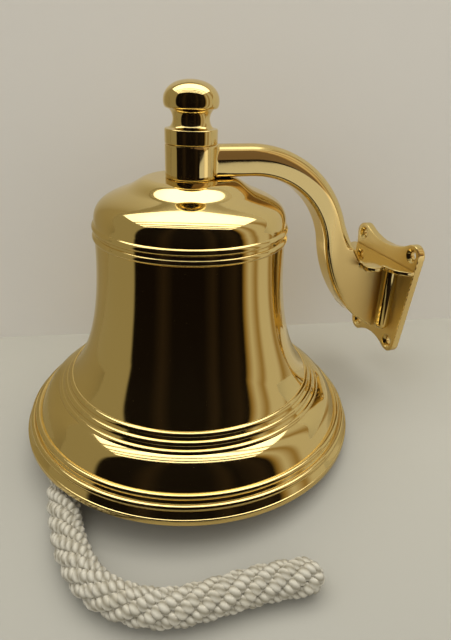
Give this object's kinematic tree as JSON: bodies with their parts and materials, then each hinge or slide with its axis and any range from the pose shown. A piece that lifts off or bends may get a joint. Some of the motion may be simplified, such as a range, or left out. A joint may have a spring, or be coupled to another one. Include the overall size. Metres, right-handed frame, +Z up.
{
  "type": "wall-mounted bell",
  "caption": "Flared brass hand-rung bell with beaded bands, hung from an S-curved lift-off wall bracket, with a swinging clapper and a plaited pull rope.",
  "frame": {"origin": "centre of the wall plate's back face, midway between the upper and the lower screw holes", "axes": "+Y into the wall, square to the wall plate's back face; +Z up, along the bell's own axis; +X to the right for someone facing the wall"},
  "size_m": [0.2485, 0.2415, 0.2186],
  "materials": {
    "bell_brass": "turned and polished brass, olive gold, with fine turning lines",
    "bracket_brass": "cast brass, polished",
    "bolt_brass": "machined brass, dull",
    "clapper_brass": "cast and turned brass, dull",
    "steel_wire": "bright steel wire",
    "becket_cord": "laid cotton cord",
    "whipping_twine": "waxed twine",
    "rope_cotton": "plaited cotton, off-white"
  },
  "bodies": {
    "wall_plate": {"wall_plate": "bracket_brass", "rope": "rope_cotton"},
    "bell": {"bracket_arm": "bracket_brass", "bell": "bell_brass", "finial": "bracket_brass", "king_bolt": "bolt_brass", "crown_washer": "bolt_brass", "crown_nut": "bolt_brass", "clevis_pin": "bolt_brass", "split_pin": "steel_wire", "rope_becket": "becket_cord", "rope_whipping": "whipping_twine"},
    "clapper": {"clapper_rod": "clapper_brass", "clapper_ball": "clapper_brass"}
  },
  "joints": [
    {"name": "arm_lift", "type": "slide", "parent": "wall_plate", "child": "bell", "axis": [0, 0, 1], "range_m": [0, 0.05], "deforming": ["rope"]},
    {"name": "clapper_swing", "type": "hinge", "parent": "bell", "child": "clapper", "pos_m": [0, -0.14, 0.0475], "axis": [1, 0, 0], "range_deg": [-31.5, 31.5], "deforming": ["rope_becket", "rope_whipping", "rope"]}
  ]
}
